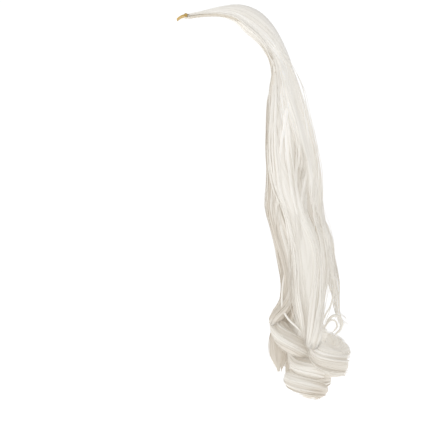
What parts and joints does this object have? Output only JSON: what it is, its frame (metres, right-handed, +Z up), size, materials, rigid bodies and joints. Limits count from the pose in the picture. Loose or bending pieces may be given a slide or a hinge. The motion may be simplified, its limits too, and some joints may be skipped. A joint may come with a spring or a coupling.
{
  "type": "ponytail hairpiece",
  "caption": "Clip-in ponytail of long pale wavy hair that lies over the crown and falls behind the head, with ringlets at its ends, a cloth tab and a metal comb.",
  "frame": {"origin": "on the crown of the wearer's head, at the underside of the cloth tab, on the middle line", "axes": "+Z up; the wearer faces -Y, so the hair goes back along +Y and hangs down along -Z; +X is the wearer's left"},
  "size_m": [0.1075, 0.2371, 0.5318],
  "materials": {
    "hair": "smooth synthetic hair, platinum with a warm cream tone and a soft sheen",
    "tab_cloth": "plain woven cream cloth",
    "comb_metal": "gold-coloured metal"
  },
  "bodies": {
    "root": {"hair": "hair", "base_tab": "tab_cloth", "comb": "comb_metal"}
  },
  "joints": []
}
